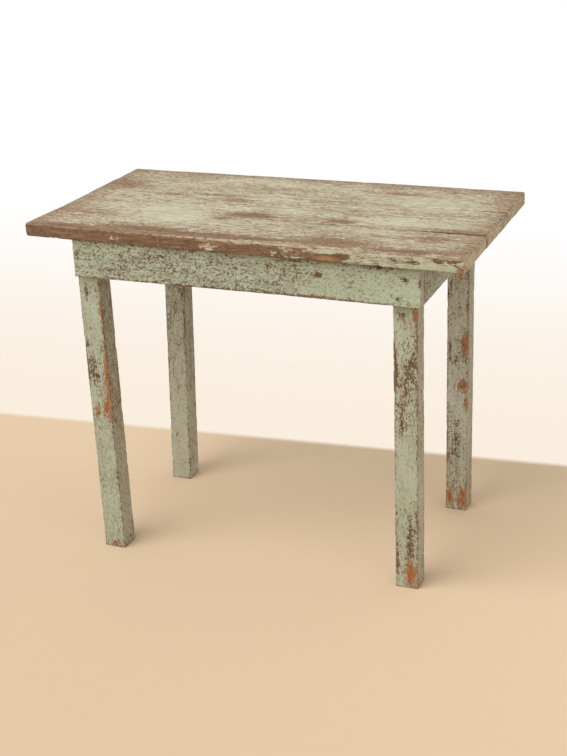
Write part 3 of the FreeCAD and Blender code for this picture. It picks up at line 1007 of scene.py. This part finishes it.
# %% Patches of the front apron
front_apron_patches_grime_and_shadow = {
    "dirty left": (110, 262, 150, 70, 0.45),
    "dirty middle": (205, 268, 140, 70, 0.42),
    "dirty left of middle": (150, 264, 60, 55, 0.30),
    "dirty right of middle": (270, 278, 75, 60, 0.24),
    # Painted shadow: a dark line of grime along the apron under the overhang of the top.
    "painted shadow under the top": (378, 267, 75, 6, 0.9),
}
front_apron_patches_brown = {"browned left of middle": (142, 262, 75, 60, 0.5)}
front_apron_patches_bare = {
    "speckled left": (115, 262, 120, 60, 0.05),
    "speckled middle": (200, 268, 180, 60, 0.10),
    "speckled right of middle": (275, 278, 60, 50, 0.08),
    "under the top, left": (290, 262, 30, 12, 0.10),
    # Partly painted shadow: brown specks of bare wood in the same line under the top.
    "brown specks in the painted shadow under the top": (378, 267, 75, 5, 0.22),
    "round chip": (315, 274, 7, 6, 0.42),
    "chip by the right leg": (404, 279, 8, 5, 0.40),
    "slanting chip": (389, 294, 7, 3, 0.4),
    "small chip": (397, 299, 6, 4, 0.4),
    "right end": (419, 284, 4, 9, 0.5),
    "lower left chip": (119, 275, 16, 3, 0.28),
    "left end chips": (76, 254, 6, 12, 0.30),
    "lower edge": (330, 298, 150, 4, 0.3),
    "lower edge left": (180, 285, 150, 3, 0.25),
}
print("front apron patches", len(front_apron_patches_bare))

# %% Grid of an apron
apron_radius = 1.5 * mm
apron_hollow = 1.0 * mm
frame_spacing = 2.0 * mm
tenon_length = 32 * mm
front_leg_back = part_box("right_end_apron")[0][1] + tenon_length
rear_leg_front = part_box("right_end_apron")[1][1] - tenon_length


def apron_grid(name):
    """Bar in an apron's visible box, turned so that its length lies along the table or across it.
    The lower edge of a long apron rises as 1 - across^2 to the middle of its length."""
    low, high = [np.array(corner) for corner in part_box(name)]
    axis = along_y if "end" in name else along_x
    if axis == along_y:
        low[1], high[1] = front_leg_back, rear_leg_front
    size = high - low
    order = [axis] + [k for k in range(3) if k != axis]
    half_a, half_b = size[order[1]] / 2, size[order[2]] / 2
    grid = bar_grid(size[axis], half_a, half_b, apron_radius, apron_radius, frame_spacing)
    edge = edge_distance(grid, size[axis], half_a, half_b)
    points = np.empty_like(grid)
    points[..., order] = grid
    points += (low + high) / 2
    if axis == along_x:
        across = 2 * (points[..., 0] - low[0]) / size[0] - 1
        points[..., 2] += apron_hollow * (1 - across ** 2) * (high[2] - points[..., 2]) / size[2]
    return points, edge


print("end aprons show between y", round(front_leg_back, 4), "and", round(rear_leg_front, 4))

# %% Masks of an apron
facing_front = (0, -1, 0)
apron_lower_turn = (0.4, 0.8)
plain_loss, plain_grime, front_loss = 0.30, 0.25, 0.23
apron_arris_loss, apron_arris_reach, apron_arris_cells = 0.3, 3, 40
lower_loss, lower_grime = 0.3, 0.3
apron_tone, apron_arris_tone, apron_arris_fresh = 0.2, 0.2, 0.2
end_weather, apron_chalk = 0.6, 0.05


def apron_masks(name, points, normal, edge, seed):
    """Paint loss and the rest over an apron: specks on the front one, dirt on the ends and the inside, and a
    painted shadow along the front one under the top.
    """
    front = rise(-normal[..., 1], *side_turn)
    lower = rise(-normal[..., 2], *apron_lower_turn)
    arris = fade(edge, apron_arris_reach)
    plane = (points.min((0, 1)), facing_front, grain_x)
    even = np.ones(points.shape[:2])
    bare, grime_and_shade = plain_loss * even, plain_grime * even
    if name == "front_apron":
        bare = front_loss + front * patch_mask(points, front_apron_patches_bare, *plane, seed)
        grime_and_shade = front * patch_mask(points, front_apron_patches_grime_and_shadow, *plane, seed + 6)
    bare = bare + apron_arris_loss * arris * cloud(points, apron_arris_cells, seed + 4) + lower_loss * lower
    weather = end_weather * rise(np.abs(normal[..., 0]), *side_turn)
    weather += front * patch_mask(points, front_apron_patches_brown, *plane, seed + 8)
    return {
        "bare": bare, "weather": weather,
        "tone": apron_tone + apron_arris_tone * arris, "fresh": apron_arris_fresh * arris,
        "chalk": apron_chalk * even, "grime_and_shade": np.clip(grime_and_shade + lower_grime * lower, 0, 1),
    }


print("an apron loses", plain_loss, "of its paint, the front one", front_loss, "and its patches")

# %% The aprons
apron_finishes = {
    "front_apron": long_apron_finish, "rear_apron": long_apron_finish,
    "left_end_apron": end_apron_finish, "right_end_apron": end_apron_finish,
}
age(apron_finishes, apron_grid, apron_masks, mask_seed=300, wear_seed=400, losses=(1.0, 1.0))

# %% [markdown]
# ## The legs
# Every leg is square at the aprons and then runs a little out of true to its foot. The solids already lean
# the right way, so the top and foot of each are read from its own points, and a straight bar is bent
# between the two.

# %% Grid of a leg
leg_radius = 2.5 * mm
knee_land = 2 * mm
knee_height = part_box("right_end_apron")[0][2] - knee_land
leg_names = ["front_left_leg", "front_right_leg", "rear_left_leg", "rear_right_leg"]


def leg_sections(name):
    """Middle and half size, in X and Y, of a leg's foot and of its square top."""
    points = solid_points(name)
    foot = points[points[:, 2] < mm]
    head = points[points[:, 2] > points[:, 2].max() - mm]
    ends = [(part[:, :2].min(0), part[:, :2].max(0)) for part in (foot, head)]
    return [((low + high) / 2, (high - low) / 2) for low, high in ends]


def leg_grid(name):
    """Bar along Z whose sections run from the foot to the knee and stay square above it."""
    (foot_middle, foot_half), (head_middle, head_half) = leg_sections(name)
    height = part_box(name)[1][2]
    grid = bar_grid(height, head_half[0], head_half[1], leg_radius, leg_radius, frame_spacing)
    edge = edge_distance(grid, height, *head_half)
    z = grid[..., 0] + height / 2
    share = np.clip(z / knee_height, 0, 1)[..., None]
    middle = foot_middle + (head_middle - foot_middle) * share
    swell = (foot_half + (head_half - foot_half) * share) / head_half
    points = np.concatenate([middle + grid[..., 1:] * swell, z[..., None]], axis=-1)
    return points, edge


print("legs lean below", round(knee_height, 4), "m")

# %% [markdown]
# ### Wear on the legs
# The legs are chipped along their arrises and at the feet, and four knocks have gone through to fresh orange
# wood. A negative amount marks a stretch where the paint is sound. Dirt is given for the foot and the head
# of each leg, on the face that looks forward and on the one that looks to the right. Where it grows towards
# the head, most of all on the rear left leg, it is painted shade under the top.

# %% Patches of the legs
leg_patches = {
    "front_left_leg": {
        "chips under the apron": (86, 291, 16, 7, 0.50),
        "chip beside them": (95, 290, 8, 4, 0.30),
        "strip on the arris": (100, 309, 22, 4, 0.50),
        "left arris chips": (87, 342, 12, 6, 0.38),
        "speckled middle": (93, 372, 46, 14, 0.36),
        "dark mark": (98, 377, 5, 6, 0.40),
        "long orange strip": (106, 378, 66, 6, 0.52),
        "orange patch": (106, 409, 24, 12, 0.56),
        "orange tongue": (98, 410, 20, 7, 0.48),
        "cracks below it": (101, 428, 14, 14, 0.20),
        "pale chips": (115, 476, 14, 6, 0.32),
        "foot": (115, 542, 9, 9, 0.60),
        "clean lower half": (111, 485, 110, 40, -0.10),
    },
    "front_right_leg": {
        "cracks under the apron": (401, 315, 14, 12, 0.24),
        "chip under the apron": (415, 317, 13, 4, 0.60),
        "strip on the left arris": (395, 362, 50, 4, 0.55),
        "chipped upper half": (407, 374, 85, 22, 0.26),
        "chipped below": (402, 420, 60, 14, 0.22),
        "brown spots": (411, 362, 14, 8, 0.24),
        "left arris, middle": (393, 468, 30, 3, 0.40),
        "orange foot": (410, 575, 36, 16, 0.60),
        "specks above the foot": (409, 542, 60, 12, 0.42),
        "left arris, low": (397, 560, 36, 4, 0.40),
        "clean middle": (407, 485, 60, 40, -0.09),
    },
    "rear_left_leg": {
        "worn grain": (175, 330, 160, 30, 0.12),
    },
    "rear_right_leg": {
        "dark head": (459, 277, 14, 24, 0.20),
        "strip by the apron": (450, 286, 22, 4, 0.3),
        "orange patch": (464, 345, 36, 10, 0.55),
        "patch beside it": (455, 358, 14, 10, 0.42),
        "left arris strip": (449, 350, 30, 3, 0.40),
        "small orange patch": (461, 386, 18, 11, 0.58),
        "right arris strip": (466, 402, 30, 4, 0.45),
        "speckled lower half": (455, 446, 80, 18, 0.38),
        "foot left": (450, 496, 28, 8, 0.60),
        "foot right": (461, 498, 34, 12, 0.66),
    },
}
leg_fresh_names = [
    "strip on the arris", "long orange strip", "orange patch", "orange tongue", "chip under the apron",
    "orange foot", "small orange patch", "right arris strip", "foot", "foot left", "foot right",
]
leg_ages = {    # dirt of the front from foot to head, dirt of the right side, greyed, cooled; dirt that grows towards the head is painted shade under the top
    "front_left_leg": ((0.4, 0.15), (0.35, 0.85), 0.35, 0.0),
    "front_right_leg": ((0.1, 0.0), (0.05, 0.05), 0.35, 0.0),
    # Painted shade: on the rear left leg the dirt rising to the head stands in for the shade under the top.
    "rear_left_leg": ((0.0, 0.95), (0.0, 1.0), 0.75, 0.0),
    "rear_right_leg": ((0.15, 0.0), (0.1, 0.2), 0.6, 0.7),
}
print("leg patches", {name: len(patches) for name, patches in leg_patches.items()})

# %% Masks of a leg
leg_front_turn, sole_turn = (0.4, 0.8), (0.6, 0.9)
leg_raggedness = 5.0
leg_loss, hidden_share, side_loss, sole_loss = 0.15, 0.35, 0.06, 0.8
leg_arris_loss, leg_arris_reach, leg_arris_cells = 0.55, 4, (50, 50, 120)
leg_tone, leg_arris_tone, leg_fresh, leg_chalk = 0.2, 0.35, 1.6, 0.1
side_weather = 0.8
dirt_and_shade_heights, cool_heights = (0.1, 0.65), (0.1, 0.3)


def leg_plane(name):
    """Point, normal and grain of a leg's front face as it leans: the grain runs along its left arris."""
    (foot_middle, foot_half), (head_middle, head_half) = leg_sections(name)
    foot_front = np.array([*(foot_middle - foot_half), 0.0])
    knee_front = np.array([*(head_middle - head_half), knee_height])
    grain = unit(knee_front - foot_front)
    face = np.cross(grain, [1.0, 0.0, 0.0])
    return foot_front, -unit(face) * np.sign(face[1]), grain


def leg_masks(name, points, normal, edge, seed):
    """Paint loss and the rest over a leg. The patches lie on its front face, and show less on the others."""
    plane, patches = leg_plane(name), leg_patches[name]
    fresh_patches = {key: patches[key] for key in patches if key in leg_fresh_names}
    loss = patch_mask(points, patches, *plane, seed, leg_raggedness)
    fresh = patch_mask(points, fresh_patches, *plane, seed, leg_raggedness)
    front = rise(-normal[..., 1], *leg_front_turn)
    right_side = rise(normal[..., 0], *side_turn)
    arris, z = fade(edge, leg_arris_reach), points[..., 2]
    bare = leg_loss + (hidden_share + (1 - hidden_share) * front) * loss
    bare += leg_arris_loss * arris * cloud(points, leg_arris_cells, seed + 4)
    bare += side_loss * right_side + sole_loss * rise(-normal[..., 2], *sole_turn)
    *dirt_and_shade, greyed, cooled = leg_ages[name]
    front_dirt_and_shade, side_dirt_and_shade = [np.interp(rise(z, *dirt_and_shade_heights), (0, 1), ends) for ends in dirt_and_shade]
    return {
        "bare": bare, "tone": leg_tone + leg_arris_tone * arris, "fresh": np.clip(leg_fresh * fresh, 0, 1),
        "weather": np.maximum(greyed, side_weather * right_side),
        "chalk": np.full(points.shape[:2], leg_chalk),
        "grime_and_shade": front_dirt_and_shade * (1 - right_side) + side_dirt_and_shade * right_side,
        "cool": cooled * front * rise(z, *cool_heights),
    }


print("front faces of the legs look along", [np.round(leg_plane(name)[1], 3).tolist() for name in leg_names])

# %% The legs
leg_finishes = dict.fromkeys(leg_names, leg_finish)
age(leg_finishes, leg_grid, leg_masks, mask_seed=500, wear_seed=600, losses=(1.6, 1.6))

# %% [markdown]
# ## Pieces that keep their solids
# The battens, pegs and nails are already the right shape, so they only get a finish. The battens were never
# painted. The pegs were painted over with the legs, so they share that finish. The nails are rusted iron.

# %% Bare wood and iron
batten_tones, batten_step = (shade(112, 84, 60), shade(166, 134, 100)), (0.25, 0.75)
batten_noise, batten_relief, batten_roughness = (180.0, 0.04, 5.0, 0.5), (0.4, 0.4 * mm), 0.85
rust_tones, rust_step = (shade(58, 46, 40), shade(120, 74, 48)), (0.35, 0.65)
rust_noise, rust_relief, rust_roughness, rust_shine = (420.0, 1.0, 4.0, 0.5), (0.3, 0.2 * mm), 0.75, 0.3


def plain_finish(name, grain_axis, noise, step, tones, relief, **sockets):
    """One noise that mixes two tones, and that also gives the bump."""
    finish = FinishTree(name, grain_axis)
    cloudy = finish.noise(*noise)
    sockets["Base Color"] = finish.mix(finish.step(cloudy, step), *tones)
    return finish.close(cloudy, *relief, **sockets)


batten_wood = plain_finish(
    "bare_batten_wood", along_y, batten_noise, batten_step, batten_tones, batten_relief,
    Roughness=batten_roughness)
nail_iron = plain_finish(
    "rusted_nail_iron", along_x, rust_noise, rust_step, rust_tones, rust_relief,
    Roughness=rust_roughness, Metallic=rust_shine)
kept_finishes = {"batten": batten_wood, "pegs": leg_finish, "nails": nail_iron}
for name, solid in nodes.items():
    finish = kept_finishes.get(name.split("_")[-1])
    if finish is not None:
        solid.data.materials.clear()
        solid.data.materials.append(finish)
        print(name, "keeps its solid, finish", finish.name)
